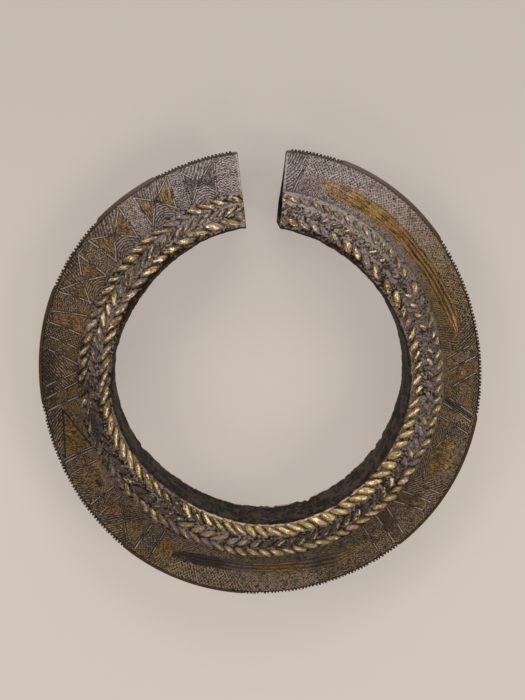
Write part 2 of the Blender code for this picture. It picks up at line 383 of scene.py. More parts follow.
# the hollow's section at the same polar directions as the outer samples, seen from its heart: half an
# outline one wall inside the flank, crest and bore, and its mirror image below
def hollowSection(radius, height):
    heart = crestRadius + body["heart"]
    wall = ring["wall"]
    inner = ring["boreRadius"] + wall
    nose = beltInner - wall
    field = np.linspace(crestRadius, nose, 12)
    depth = np.maximum(flank(field) - wall * 1.35, wall * 0.3)
    depth[0] = ring["crestHeight"] - wall * 1.2
    r = np.concatenate([[nose + wall * 0.3], field[::-1], [rowEdges[1], inner, inner]])
    z = np.concatenate([[0.0], depth[::-1], [depth[0], ring["rimHeight"] - wall * 1.2, 0.0]])
    r = np.concatenate([r, r[-2:0:-1]])
    z = np.concatenate([z, -z[-2:0:-1]])
    t = np.linspace(0, len(r), 4000, endpoint=False)
    fineR = np.interp(t, np.arange(len(r) + 1), np.append(r, r[0]))
    fineZ = np.interp(t, np.arange(len(z) + 1), np.append(z, z[0]))
    turn = np.unwrap(np.arctan2(fineZ, fineR - heart))
    far = np.hypot(fineZ, fineR - heart)
    order = np.argsort(turn)
    wanted = np.arctan2(height, radius - heart) % (2 * math.pi)
    reach = np.interp(wanted, turn[order] % (2 * math.pi + 1e-9), far[order], period=2 * math.pi)
    return heart + reach * np.cos(wanted), reach * np.sin(wanted)


# the bore wall pushed out by smooth noise, more at its rims, and by flat-bottomed bites in its far rim
def wornBore(degrees, far, up):
    onWall = rise(np.abs(up), ring["rimHeight"], ring["rimHeight"] * 0.8)
    onWall = onWall * rise(far, body["innerEdge"], body["boreFace"])
    far = far + onWall * body["boreDent"] * clouds(degrees * 0.35, up * 260, 21)
    nearRim = rise(far, body["wornTo"], body["innerEdge"])
    wear = clouds(degrees * 0.22, up * 90, 24) + clouds(degrees * 1.3, up * 300, 29)
    far = far + nearRim * body["rimWear"] * wear
    for place, width, depth in bites:
        bite = depth * np.exp(-((degrees - place) / width) ** 4) * rise(far, body["bittenTo"],
                                                                        body["innerEdge"])
        far = far + bite * rise(up, body["biteTop"], body["biteFull"])
    return far


# marks for the body's finish: soot in the bore, bed of the leaves, painted highlights along the rims, keel,
# and the lilac patina with its painted sheen
def bodyMarks(degrees, radius, height):
    rim, onInside = ring["rimHeight"], radius < body["innerEdge"]
    onBore = rise(np.abs(height), rim + body["nick"], rim - 4 * body["nick"]) * onInside
    margin = body["bedMargin"]
    onBed = (height > 0) & (radius > rowEdges[0] - margin) & (radius < rowEdges[3] + margin)
    # painted highlight: a thin cream line along the near rim, from about 60 to 226 degrees
    nearRim = np.exp(-((radius - body["rimRadius"]) / body["rimSpread"]) ** 2) * (height > 0)
    rimHighlight = np.maximum(rise(degrees, 112, 158), 0.40 * rise(degrees, 58, 75)) * rise(degrees, 226, 200)
    rimHighlight = rimHighlight * (0.95 + 0.4 * clouds(degrees * 0.6, degrees * 0, 27))
    # painted highlight along the far lower rim of the bore
    farRimHighlight = np.exp(-((height - body["farRimHeight"]) / body["farRimSpread"]) ** 2) * onInside
    farRimHighlight = farRimHighlight * rise(degrees, 95, 120) * rise(degrees, 255, 225)
    farRimHighlight = farRimHighlight * (0.50 + 1.0 * clouds(degrees * 0.8, degrees * 0, 28))
    tables = [fromTable(degrees, row["bed"]) for row in leafRows.values()]
    bedPale = np.where(radius < rowEdges[1], tables[0], np.where(radius < rowEdges[2], tables[1], tables[2]))
    bedPale = bedPale + fromTable(degrees, body["rimPale"]) * rise(radius, 0.0337, 0.0331)
    keel = rise(radius, beltInner - 2 * body["nick"], beltInner + 2 * body["nick"])
    return dict(bore=onBore + 0 * degrees, bed=onBed + 0 * degrees, rim=nearRim * rimHighlight + farRimHighlight,
                sheenAndPatina=sheenAndPatinaShare(degrees), bedPale=bedPale, keel=keel + 0 * degrees)


# body surface: the section carried round the ring, worn and rounded at the terminals, with the hollow inside
def makeBody():
    radius, height = sampledSection(bodySection())
    count = len(radius)
    angle = stations(halfGap, 360 - halfGap, body["spacing"], body["bevel"])
    turn, far = np.meshgrid(angle, radius, indexing="ij")
    up = np.broadcast_to(height, turn.shape)
    degrees = np.degrees(turn)
    far = far - body["keelCut"] * milledShare(degrees) * rise(far, beltInner, ring["keelRadius"])
    far = wornBore(degrees, far, up)
    shrink = endRound(turn, far, body["bevel"])
    heart = crestRadius + body["heart"]
    away = np.hypot(far - heart, up)
    far, up = far - shrink * (far - heart) / away, up - shrink * up / away
    outer = toFrame(far, cornered(turn, far), up)
    innerR, innerZ = hollowSection(radius, height)
    innerAngle = np.linspace(angle[0], angle[-1], int(2 * math.pi * crestRadius / body["hollowSpacing"]))
    innerTurn, innerFar = np.meshgrid(innerAngle, innerR, indexing="ij")
    innerUp = np.broadcast_to(innerZ, innerTurn.shape)
    inner = toFrame(innerFar, innerTurn, innerUp)
    first = outer.size // 3
    points = np.concatenate([outer.reshape(-1, 3), inner.reshape(-1, 3)])
    faces = [bandFaces(len(angle), count), bandFaces(len(innerAngle), count, first, True)]
    j = np.arange(count)
    k = (j + 1) % count
    last = (len(angle) - 1) * count
    lastInner = first + (len(innerAngle) - 1) * count
    ends = [np.stack([k, j, first + j, first + k], -1),
            np.stack([last + j, last + k, lastInner + k, lastInner + j], -1)]
    marks = {}
    for key, values in bodyMarks(degrees, radius, height).items():
        inside = np.full(innerTurn.shape, body["hollowSoot"] if key == "bore" else 0.0)
        marks[key] = np.concatenate([values.ravel(), inside.ravel()]).reshape(-1, 1)
    marks["track"] = np.concatenate([trackOf(turn, far, up), trackOf(innerTurn, innerFar, innerUp)])
    return makePiece("bangleBody", points, np.concatenate(faces), flat=ends, marks=marks)


# engraved flange: degrees from the opening and millimetres from the ring's centre
flange = dict(spacing=0.000095, across=90, thick=0.0009, inner=0.0402, outer=0.04912, bevel=0.0002,
              strokeWidth=0.19, strokeDepth=0.14, hatchDepth=0.10, panelDepth=0.04, worn=0.00006,
              pitchShare=0.88,
              pale=((6, -0.03), (20, 0.0), (32, 0.16), (58, 0.18), (80, 0.02), (120, 0.0), (150, -0.06),
                    (180, -0.10),
                    (205, -0.05), (240, 0.0), (272, -0.06), (296, 0.02), (354, 0.08)),
              paleInside=((6, -0.14), (30, 0.0), (50, 0.16), (80, 0.12), (115, 0.08), (130, 0.0),
                          (180, -0.06), (198, 0.18),
                          (222, 0.0), (246, 0.24), (270, 0.05), (294, 0.12), (318, -0.05), (354, 0.08)),
              paleOutside=((6, 0.06), (30, 0.0), (54, -0.08), (72, -0.28), (88, -0.24), (104, 0.0),
                           (130, 0.03), (200, 0.0),
                           (225, -0.07), (250, -0.08), (270, -0.50), (285, -0.14), (300, -0.05), (354, 0.10)),
              umber=((6, 0.0), (25, 0.0), (40, 0.5), (100, 0.6), (120, 0.2), (140, 0.0), (200, 0.0),
                     (215, 0.25),
                     (248, 0.30), (262, 0.65), (285, 0.60), (300, 0.25), (325, 0.0)))

# the flange is made in three arcs that meet in radial planes
flangeArcs = dict(flangeSpindleSide=(halfGap, 101.9), flangeLowerSide=(101.9, 216.3),
                  flangePanelSide=(216.3, 360 - halfGap))

# single engraved strokes: from degrees, radius to degrees, radius, and strength
strokes = (
    (11.5, 46.5, 9.2, 40.7, 0.8),
    (82.2, 47.3, 84.5, 41.3, 0.8), (85.4, 48.4, 88.4, 42.2, 0.9), (89.8, 48.4, 93.3, 42.9, 0.9),
    (101.1, 48.4, 97.0, 42.3, 0.9), (102.0, 48.4, 97.6, 41.5, 0.5), (103.1, 48.4, 98.3, 40.7, 1.0),
    (106.5, 48.4, 102.7, 40.7, 0.8), (103.9, 45.7, 112.7, 42.3, 0.8),
    (124.3, 48.2, 125.2, 43.7, 0.8), (127.6, 48.0, 129.7, 40.6, 1.0), (130.6, 47.5, 134.1, 40.4, 0.9),
    (138.8, 48.2, 136.7, 40.4, 0.9), (142.1, 48.4, 141.1, 40.4, 1.0), (146.9, 47.5, 146.5, 40.7, 0.8),
    (211.3, 47.1, 212.0, 41.2, 0.7), (212.0, 47.1, 212.7, 41.2, 0.6), (215.9, 48.4, 216.5, 41.7, 1.0),
    (216.6, 48.2, 217.2, 41.7, 0.6), (218.9, 48.1, 229.9, 41.8, 0.6), (219.6, 41.8, 229.1, 48.3, 0.6),
    (229.1, 48.3, 230.0, 41.3, 0.7), (232.7, 48.4, 233.6, 41.3, 0.8), (242.4, 48.4, 243.5, 40.8, 0.7),
    (246.0, 48.4, 247.1, 40.5, 0.9), (246.8, 48.4, 247.9, 40.5, 0.7),
    (246.5, 48.3, 260.5, 45.0, 0.3), (247.8, 40.5, 260.5, 45.0, 0.3),
    (260.7, 48.4, 264.3, 40.7, 0.9), (264.0, 48.4, 268.9, 40.5, 0.8), (267.3, 48.2, 272.2, 40.4, 0.8),
    (277.2, 47.6, 274.5, 40.4, 0.8), (280.7, 47.6, 279.3, 41.1, 0.8), (284.4, 48.3, 283.7, 40.5, 0.9),
    (287.5, 48.3, 289.8, 40.7, 0.8), (292.8, 48.3, 294.3, 40.5, 1.0),
    (303.8, 48.4, 303.7, 41.2, 1.0), (308.3, 48.4, 309.0, 41.3, 1.0), (319.9, 48.4, 318.9, 41.5, 1.0),
    (324.4, 48.4, 324.5, 41.5, 1.0), (334.7, 48.4, 333.3, 41.4, 1.0), (338.8, 48.3, 337.8, 41.0, 0.8),
    (347.4, 48.0, 346.1, 40.8, 0.8),
)

# hourglass panels: first and last degrees, degrees and radius of the crossing, then warmth and darkness
hourglasses = ((293.6, 303.4, 298.2, 44.7, 0.50, 0.3), (308.9, 319.2, 314.1, 45.0, 0.42, 0.2),
               (324.7, 334.0, 328.9, 45.2, 0.32, 0.3), (338.5, 346.7, 342.3, 44.6, -0.6, 0.35))

# polished panels: corners as degrees and radius in turn, then shine, warmth and darkness
panels = (
    (((89.8, 48.2), (101.0, 48.2), (98.0, 44.8), (92.5, 44.8)), 0.5, 0.4, 0.1),
    (((85.6, 48.2), (89.6, 48.2), (92.6, 43.4), (88.2, 43.0)), 0.9, 0.45, 0.1),
    (((101.6, 48.2), (103.0, 48.3), (98.3, 41.0), (97.2, 42.0)), 0.6, 0.6, 0.7),
    (((108.3, 44.6), (111.6, 47.4), (118.2, 46.9), (122.5, 44.2), (117.2, 42.1), (111.4, 41.9)), 1.0, 0.15,
     -0.3),
    (((127.6, 48.0), (130.6, 47.5), (134.1, 40.6), (129.7, 40.6)), 0.8, 0.35, 0.35),
    (((138.8, 48.2), (142.1, 48.3), (141.1, 40.6), (136.9, 40.6)), 0.7, 0.35, 0.75),
    (((206.0, 47.4), (211.2, 47.0), (211.9, 41.6), (206.8, 42.6)), 0.9, 0.9, 0.0),
    (((216.6, 48.0), (219.4, 48.0), (219.9, 42.0), (217.2, 42.0)), 0.6, 0.8, 0.2),
    (((219.4, 47.6), (223.6, 45.0), (220.0, 42.6)), 0.7, 0.8, 0.1),
    (((229.2, 48.0), (225.6, 45.0), (229.9, 42.2)), 0.9, 0.9, 0.0),
    (((233.4, 44.8), (233.9, 47.4), (242.0, 47.2), (243.0, 42.0), (238.4, 41.8)), 0.8, 0.45, 0.1),
    (((247.0, 48.0), (260.3, 45.0), (248.4, 40.9)), 1.0, 0.5, -0.1),
    (((260.9, 48.2), (264.0, 48.2), (268.6, 40.9), (264.4, 40.9)), 0.4, 0.5, 0.3),
    (((277.4, 47.6), (280.6, 47.6), (279.2, 41.4), (274.8, 41.0)), 0.5, 0.8, 0.3),
    (((284.4, 48.0), (287.4, 48.0), (289.7, 41.0), (283.8, 41.0)), 0.8, 0.8, 0.1),
)

# long spindles: outer and inner edge in (degrees, millimetres), shine, warmth, darkness and where ridges
# begin
spindles = (
    dict(outer=((10.9, 45.4), (28, 45.6), (50, 45.2), (60, 45.6), (70, 46.2), (74, 46.5), (77, 46.0),
                (79.6, 44.8)),
         inner=((10.9, 41.9), (18, 41.6), (28, 41.4), (38, 41.8), (58, 42.1), (68, 42.4), (73, 43.0),
                (79.6, 44.7)),
         shine=((11, 0.35), (20, 0.7), (30, 1.0), (80, 1.0)),
         warmth=((11, -0.5), (17, -0.3), (22, 0.9), (28, 0.5), (33, 0.3), (40, 0.7), (55, 0.6), (70, 0.5),
                 (76, 1.0)),
         dark=((11, 0.0), (42, 0.0), (48, 0.2), (62, 0.3), (70, 0.42), (74, 0.0)), ridges=(38, 52, 1.0)),
    dict(outer=((147.8, 45.3), (155, 46.3), (160, 46.7), (170, 45.3), (180, 44.8), (191, 44.8), (198, 45.4),
                (206.4, 45.9)),
         inner=((147.8, 45.1), (152, 44.1), (160, 43.0), (170, 42.1), (180, 41.8), (191, 41.8), (198, 42.1),
                (204, 43.1), (206.4, 44.4)),
         shine=((148, 0.9), (158, 0.8), (170, 0.9), (206, 1.0)),
         warmth=((148, 0.2), (157, 0.1), (164, -0.4), (170, 0.5), (179, 0.6), (184, -0.5), (196, -0.2),
                 (206, 0.1)),
         dark=((148, 0.0), (156, 0.2), (160, 0.75), (165, 0.75), (169, 0.4), (180, 0.4), (184, 0.45),
               (189, 0.6),
               (193, 1.0), (206, 1.0)), ridges=(148, 150, 1.0)),
)

# ground patterns: first and last degrees, lowest and highest radius, kind, pitch in millimetres and lean
# in degrees
grounds = (
    (6.0, 354.0, 40.0, 49.2, "dots", 0.50, 0), (6.0, 11.4, 40.0, 49.2, "fan", 0.60, 0),
    (11.4, 50.0, 45.2, 49.2, "net", 0.58, 50), (50.0, 82.0, 45.2, 49.2, "net", 0.60, 56),
    (50.0, 74.0, 47.6, 49.2, "net", 0.52, 50), (9.0, 60.0, 40.0, 42.2, "chevron", 0.55, 35),
    (60.0, 76.0, 40.0, 43.0, "slant", 0.55, 62), (74.0, 82.5, 40.0, 44.6, "slant", 0.60, 66),
    (76.0, 82.5, 44.6, 49.2, "slant", 0.60, -58), (82.5, 90.0, 40.0, 49.2, "net", 0.46, 48),
    (90.0, 101.0, 40.0, 44.8, "dots", 0.52, 0), (101.0, 104.0, 40.0, 49.2, "net", 0.50, 50),
    (104.0, 109.0, 40.0, 49.2, "dots", 0.55, 0), (109.0, 122.0, 46.2, 49.2, "chevron", 0.55, 30),
    (109.0, 122.0, 40.0, 43.2, "slant", 0.55, 40), (122.0, 128.0, 40.0, 49.2, "slant", 0.62, -40),
    (130.0, 139.0, 40.0, 49.2, "chevron", 0.62, 26), (142.0, 147.0, 40.0, 49.2, "rocked", 0.60, 0),
    (147.0, 165.0, 40.0, 49.2, "rocked", 0.56, 0), (165.0, 186.0, 44.5, 49.2, "net", 0.50, 46),
    (186.0, 206.0, 44.5, 49.2, "net", 0.62, 56), (165.0, 207.0, 40.0, 42.4, "slant", 0.55, 48),
    (207.0, 212.0, 40.0, 49.2, "slant", 0.50, 70), (212.0, 216.5, 40.0, 49.2, "dots", 0.48, 0),
    (216.5, 229.5, 40.0, 49.2, "slant", 0.58, 60), (229.5, 233.2, 40.0, 49.2, "dots", 0.50, 0),
    (233.2, 243.0, 45.6, 49.2, "slant", 0.62, 58), (233.2, 243.0, 40.0, 45.6, "net", 0.55, 40),
    (243.0, 247.2, 40.0, 49.2, "dots", 0.50, 0), (247.2, 261.0, 44.6, 49.2, "slant", 0.60, -52),
    (247.2, 261.0, 40.0, 44.6, "dots", 0.52, 0), (261.0, 272.0, 40.0, 49.2, "rocked", 0.58, 0),
    (265.5, 277.0, 40.0, 49.2, "slant", 0.66, 45), (277.0, 285.0, 40.0, 49.2, "dots", 0.60, 0),
    (285.0, 293.0, 40.0, 49.2, "rocked", 0.60, 0), (293.0, 303.8, 44.8, 49.2, "slant", 0.62, 70),
    (293.0, 303.8, 40.0, 44.8, "arcs", 0.58, 298.2), (303.8, 308.6, 40.0, 49.2, "rocked", 0.56, 0),
    (308.6, 319.6, 44.8, 49.2, "slant", 0.72, 58), (308.6, 319.6, 40.0, 44.8, "arcs", 0.60, 313.6),
    (319.6, 324.4, 40.0, 49.2, "net", 0.46, 60), (324.4, 334.2, 44.8, 49.2, "slant", 0.62, 72),
    (324.4, 334.2, 40.0, 44.8, "arcs", 0.60, 329.0), (334.2, 338.4, 40.0, 49.2, "rocked", 0.62, 0),
    (338.4, 347.2, 44.8, 49.2, "slant", 0.80, 60), (338.4, 347.2, 40.0, 44.8, "arcs", 0.60, 342.5),
    (347.2, 354.0, 40.0, 49.2, "rocked", 0.66, 0),
)


# how lilac and pale the metal is, most near the terminals: lilac patina, with painted sheen on the side
# towards the top softbox
def sheenAndPatinaShare(degrees):
    return np.maximum(rise(degrees, 72, 14), rise(degrees, 298, 345))


# flat millimetre coordinates of a place given as degrees and millimetres
def flatPlace(degrees, radius):
    a = np.radians(degrees)
    return radius * np.sin(a), radius * np.cos(a)


# distance from each point to the straight stroke between two places
def strokeDistance(x, y, start, end):
    x0, y0 = flatPlace(*start)
    x1, y1 = flatPlace(*end)
    dx, dy = x1 - x0, y1 - y0
    t = np.clip(((x - x0) * dx + (y - y0) * dy) / (dx * dx + dy * dy), 0, 1)
    return np.hypot(x - x0 - t * dx, y - y0 - t * dy)


# depth inside a convex panel: the least distance to any of its sides, negative outside
def panelDepth(x, y, corners):
    places = [flatPlace(*corner) for corner in corners]
    area = sum(a[0] * b[1] - b[0] * a[1] for a, b in zip(places, places[1:] + places[:1]))
    way = 1 if area > 0 else -1
    depth = np.full_like(x, 1e3)
    for (x0, y0), (x1, y1) in zip(places, places[1:] + places[:1]):
        side = ((x1 - x0) * (y - y0) - (y1 - y0) * (x - x0)) / math.hypot(x1 - x0, y1 - y0)
        depth = np.minimum(depth, side * way)
    return depth


# ridge pattern 0..1 of lines across value at the given pitch, sharper with more power
def lines(value, pitch, power=2.2):
    return (0.5 + 0.5 * np.cos(2 * math.pi * value / pitch)) ** power


# ridge strength 0..1 of one ground pattern, from degrees and millimetres: lines lean from the ring's
# direction
def groundPattern(kind, pitch, lean, u, v):
    pitch = pitch * flange["pitchShare"]
    u, v = u + 0.22 * clouds(u * 0.8, v * 0.8, 31), v + 0.22 * clouds(u * 0.8, v * 0.8, 41)
    c, s = math.cos(math.radians(lean)), math.sin(math.radians(lean))
    if kind == "net":
        return np.maximum(lines(u * s + v * c, pitch), lines(u * s - v * c, pitch))
    if kind == "slant":
        return lines(u * s - v * c, pitch)
    if kind == "chevron":
        fold = np.abs((v / 1.15) % 1 - 0.5) * 1.15
        return lines(u * c + fold * 1.4, pitch)
    if kind == "dots":
        turned = u * 0.82 + v * 0.57
        return np.clip(lines(turned, pitch * 0.9, 1.2) * lines(v * 0.82 - u * 0.57, pitch, 1.2) * 1.7, 0, 1)
    if kind == "fan":
        return lines(np.hypot(u - 3.0, (v - 49.5) * 0.8), pitch)
    if kind == "arcs":
        return lines(np.hypot(u - math.radians(lean) * arcRadius, v - 38.5), pitch)
    fold = np.abs((u / 1.35) % 1 - 0.5) * 2
    return lines(v + fold * fold * 0.5, pitch)


# everything cut into the flange: relief in metres, and marks for the finish
def engrave(degrees, radius):
    x, y = flatPlace(degrees, radius)
    u = np.radians(degrees) * arcRadius
    pattern = np.zeros_like(x)
    for start, end, low, high, kind, pitch, lean in grounds:
        here = (degrees >= start) & (degrees < end) & (radius >= low) & (radius < high)
        if here.any():
            pattern[here] = groundPattern(kind, pitch, lean, u[here], radius[here])
    pattern = np.clip(pattern * (0.92 + 0.9 * clouds(u * 2.3, radius * 2.3, 51)), 0, 1)
    shine = np.zeros_like(x)
    warmth = np.full_like(x, 0.3)
    dark = np.zeros_like(x)
    cross = np.zeros_like(x)
    ridge = np.zeros_like(x)
    ragged = 0.45 * clouds(u * 0.9, radius * 1.6, 61)
    for spindle in spindles:
        outer, inner = fromTable(degrees, spindle["outer"]), fromTable(degrees, spindle["inner"])
        start, end = spindle["outer"][0][0], spindle["outer"][-1][0]
        here = (degrees > start) & (degrees < end)
        inside = rise(np.minimum(outer - radius, radius - inner) + ragged, -0.3, 0.6) * here
        shine = np.maximum(shine, inside * fromTable(degrees, spindle["shine"]))
        warmth = np.where(inside > 0.3, fromTable(degrees, spindle["warmth"]), warmth)
        dark = np.where(inside > 0.3, fromTable(degrees, spindle["dark"]), dark)
        first, full, depth = spindle["ridges"]
        share = (radius - inner) / np.maximum(outer - inner, 0.05)
        wave = np.cos(2 * math.pi * (share * 3.7 + 0.30 * clouds(u * 0.22, share * 2, 71)))
        ridge = np.where(here, ridge + inside * wave * depth * rise(degrees, first, full), ridge)
    for corners, polish, warm, gloom in panels:
        inside = rise(panelDepth(x, y, corners) + ragged, -0.15, 0.55)
        cross = np.maximum(cross, inside > 0)
        shine = np.maximum(shine, inside * polish)
        warmth = np.where(inside > 0.3, warm, warmth)
        dark = np.where(inside > 0.3, gloom, dark)
    cut = np.zeros_like(x)
    low, high = 41.0, 48.2
    for start, end, crossAt, crossRadius, warm, gloom in hourglasses:
        knot = (crossAt, crossRadius)
        for side in (start, end):
            inside = rise(panelDepth(x, y, ((side, low), (side, high), knot)) + ragged, 0.0, 0.5)
            cross = np.maximum(cross, inside > 0)
            shine = np.maximum(shine, inside * 0.95)
            warmth = np.where(inside > 0.3, warm, warmth)
            dark = np.where(inside > 0.3, gloom, dark)
            for edge in (low, high):
                near = strokeDistance(x, y, (side, edge), knot)
                cut = np.maximum(cut, 0.9 * np.exp(-(near / flange["strokeWidth"]) ** 2))
    for a0, r0, a1, r1, strength in strokes:
        near = strokeDistance(x, y, (a0, r0), (a1, r1))
        cut = np.maximum(cut, strength * np.exp(-(near / flange["strokeWidth"]) ** 2))
    cut = np.clip(cut * (1.12 + 0.16 * clouds(u * 1.1, radius * 1.1, 81)), 0, 1)
    hatch = np.clip(pattern * (1 - shine) + shine * (0.5 + 0.5 * ridge), 0, 1)
    relief = flange["hatchDepth"] * (hatch - 0.5) * (1 - 0.3 * shine) - flange["strokeDepth"] * cut
    relief = relief - flange["panelDepth"] * shine
    # painted highlight: the hatch is pale within 0.7 mm of a terminal's rounded end
    hatch = np.maximum(hatch, rise(fromEnd(np.radians(degrees), radius), 0.7, 0.2))
    marks = dict(shine=shine, warmth=warmth, dark=dark, cut=cut, hatch=hatch, cross=cross,
                 sheenAndPatina=sheenAndPatinaShare(degrees))
    return relief * millimetre, marks


# casting hole through the flange; its dark inside is painted shadow
slotHole = dict(degrees=236.7, radius=43.9, length=0.80, width=0.36, depth=0.0008)


# engraved flange surface: flank height plus relief over angle and radius, closed below as a thin slab
def makeFlange(name, start, end):
    angle = stations(start, end, flange["spacing"], flange["bevel"])
    across = np.linspace(flange["outer"], flange["inner"], flange["across"])
    turn, far = np.meshgrid(angle, across, indexing="ij")
    degrees = np.degrees(turn)
    relief, marks = engrave(degrees, far / millimetre)
    x, y = flatPlace(degrees, far / millimetre)
    holeX, holeY = flatPlace(slotHole["degrees"], slotHole["radius"])
    tilt = math.radians(slotHole["degrees"])
    alongHole = (x - holeX) * math.cos(tilt) - (y - holeY) * math.sin(tilt)
    acrossHole = (x - holeX) * math.sin(tilt) + (y - holeY) * math.cos(tilt)
    hole = np.exp(-((alongHole / slotHole["length"]) ** 2 + (acrossHole / slotHole["width"]) ** 2) ** 1.5)
    up = flank(far) - ring["beltStep"] * rise(far, flange["inner"], flange["inner"] + 0.0006)
    worn = flange["worn"] * clouds(degrees * 0.4, far * 350, 91)
    up = up + relief + worn - slotHole["depth"] * hole - endRound(turn, far, flange["bevel"])
    marks["hole"] = hole
    wear = fromTable(degrees, flange["pale"])
    wear = wear + fromTable(degrees, flange["paleInside"]) * rise(far, 0.0440, 0.0415)
    wear = wear + fromTable(degrees, flange["paleOutside"]) * rise(far, 0.0445, 0.0470)
    marks["hatch"] = marks["hatch"] + wear
    marks["umber"] = fromTable(degrees, flange["umber"])
    low = np.array([flange["inner"], flange["inner"] + 0.001, flange["outer"] - 0.001, flange["outer"]])
    return makeSlab(name, turn, far, up, (low, flank(low) - flange["thick"]), marks)


# three rows of raised leaves: each a relief on its own sloping bed
# lean is how far a leaf runs along the ring for each millimetre across it, reach its half length across
# pitch in millimetres, and fullness, gold and lift as shares, all as (degrees, value) pairs
# margin and stray in millimetres; place moves leaves across the row, bed is how pale it is, gloom how dark
leaf = dict(spacing=0.00011, across=28, sink=0.00018, under=0.0007, bevel=0.00035, margin=0.1, stray=0.10,
            pitting=0.00007, wornTop=0.00984, wornDepth=0.00020)
leafRows = dict(
    leafRowInner=dict(
        edges=(0, 1), shift=-0.30, rise=0.62, seed=11,
        place=((6, 0.25), (20, 0.35), (45, 0.30), (75, 0.0), (130, 0.0), (148, -0.08), (188, -0.08),
               (200, 0.0),
               (225, -0.05), (262, 0.0), (288, 0.42), (320, 0.42), (354, 0.30)),
        reach=((6, 1.20), (20, 1.12), (60, 1.12), (98, 1.2), (108, 1.42), (148, 1.42), (190, 1.40),
               (210, 1.2), (262, 1.2), (285, 1.08), (322, 1.08), (354, 1.2)),
        bed=((6, 0.6), (20, 0.35), (55, 0.4), (75, 0.45), (104, 0.75), (130, 0.5), (190, 0.5), (212, 0.35),
             (246, 0.5),
             (262, 0.2), (290, 0.05), (320, 0.05), (354, 0.7)),
        gloom=((6, -0.2), (30, 0.0), (92, 0.0), (106, -0.6), (140, -1.0), (184, -1.3), (196, 0.3),
               (222, 0.3), (246, -0.6),
               (262, 0.0), (320, 0.05), (340, -0.2), (354, -0.2)),
        lean=((6, -1.0), (62, -0.85), (100, -0.9), (150, -0.95), (200, -1.2), (230, -1.5), (300, -1.35),
              (340, -1.3)),
        pitch=((6, 2.6), (36, 2.6), (49, 4.2), (58, 3.4), (62, 2.5), (118, 2.6), (200, 2.5), (235, 3.1),
               (280, 3.3),
               (354, 3.4)),
        fullness=((6, 0.95), (60, 0.85), (80, 0.95), (354, 1.0)),
        gold=((6, 0.4), (20, 0.3), (30, 0.3), (36, 0.8), (57, 0.8), (60, 0.6), (80, 0.8), (118, 0.95),
              (200, 0.9),
              (212, 0.7), (225, 0.45), (236, 0.9), (274, 0.85), (277, 0.3), (284, 0.65), (350, 0.7),
              (354, 0.5)),
        lift=((6, 0.7), (22, 0.5), (34, 0.55), (38, 1.0), (205, 0.9), (215, 0.65), (232, 0.65), (240, 1),
              (354, 1))),
    leafRowMiddle=dict(
        edges=(1, 2), shift=-0.05, rise=0.62, seed=12,
        place=((6, 0.0), (354, 0.0)),
        bed=((6, 0.75), (60, 0.75), (80, 0.6), (108, 0.7), (122, 0.4), (140, 0.05), (182, 0.0), (200, 0.5),
             (216, 0.1),
             (262, 0.0), (285, 0.9), (354, 0.6)),
        gloom=((6, 0.2), (60, 0.1), (85, -0.1), (112, -0.2), (126, 0.2), (150, 0.8), (176, 0.6), (194, -0.7),
               (206, -0.5), (214, 0.6),
               (258, 0.95), (275, 0.2), (292, -0.3), (312, 0.0), (354, -0.1)),
        reach=((6, 0.95), (60, 0.9), (110, 1.05), (354, 1.1)),
        lean=((6, 0.9), (62, 0.7), (105, 0.8), (200, 1.0), (300, 1.25)),
        pitch=((6, 2.45), (60, 2.45), (64, 2.65), (160, 2.65), (300, 2.7), (304, 1.95), (354, 2.0)),
        fullness=((6, 0.85), (28, 0.72), (60, 0.66), (118, 0.74), (124, 0.86), (354, 0.86)),
        gold=((6, 0.15), (27, 0.25), (31, 0.6), (40, 0.45), (48, 0.15), (58, 0.2), (62, 0.5), (90, 0.5),
              (97, 0.25),
              (117, 0.35), (120, 0.5), (134, 0.45), (148, 0.30), (180, 0.20), (200, 0.12), (260, 0.1),
              (282, 0.2),
              (285, 0.55), (301, 0.6), (305, 0.3), (354, 0.3)),
        lift=((6, 0.9), (190, 0.9), (200, 0.55), (250, 0.5), (262, 0.7), (270, 0.95), (354, 0.9))),
    leafRowOuter=dict(
        edges=(2, 3), shift=-0.08, rise=0.72, seed=13,
        place=((6, 0.0), (354, 0.0)),
        bed=((6, 1.1), (40, 1.1), (70, 0.85), (104, 0.75), (130, 0.45), (200, 0.3), (250, 0.3), (285, 0.4),
             (354, 0.8)),
        gloom=((6, -0.2), (36, -0.3), (60, 0.0), (100, -0.7), (126, -1.1), (150, -1.5), (170, -0.7),
               (200, -0.4), (225, -0.1),
               (250, 0.1), (268, 0.5), (284, 0.1), (318, -0.2), (354, -0.1)),
        reach=((6, 1.0), (50, 1.05), (56, 1.2), (64, 1.05), (110, 1.2), (354, 1.3)),
        lean=((6, -0.85), (50, -0.65), (110, -0.75), (200, -0.9), (300, -0.95)),
        pitch=((6, 2.4), (50, 2.5), (52, 3.9), (58, 3.9), (61, 2.5), (118, 2.5), (165, 2.6), (285, 2.85),
               (354, 2.85)),
        fullness=((6, 0.9), (25, 0.85), (28, 0.58), (50, 0.60), (53, 0.9), (60, 0.7), (118, 0.78),
                  (122, 0.98),
                  (354, 0.95)),
        gold=((6, 0.45), (22, 0.5), (27, 0.75), (50, 0.8), (53, 1.0), (59, 1.0), (61, 0.4), (66, 0.75),
              (80, 0.75),
              (105, 0.75), (122, 0.8), (165, 0.75), (188, 0.7), (196, 0.35), (214, 0.3), (219, 0.5),
              (224, 0.2),
              (243, 0.25), (248, 0.55), (258, 0.3), (270, 0.6), (282, 0.25), (286, 0.65), (350, 0.65),
              (354, 0.4)),
        lift=((6, 0.7), (25, 0.9), (190, 0.95), (200, 0.5), (243, 0.5), (262, 0.9), (354, 1.0))),
)

# lumps of casting flaw over the rows: degrees, radius, half length and half width in millimetres, height
lumps = ((255.5, 37.6, 3.6, 1.1, 0.45), (252.0, 38.4, 1.8, 0.7, 0.5))


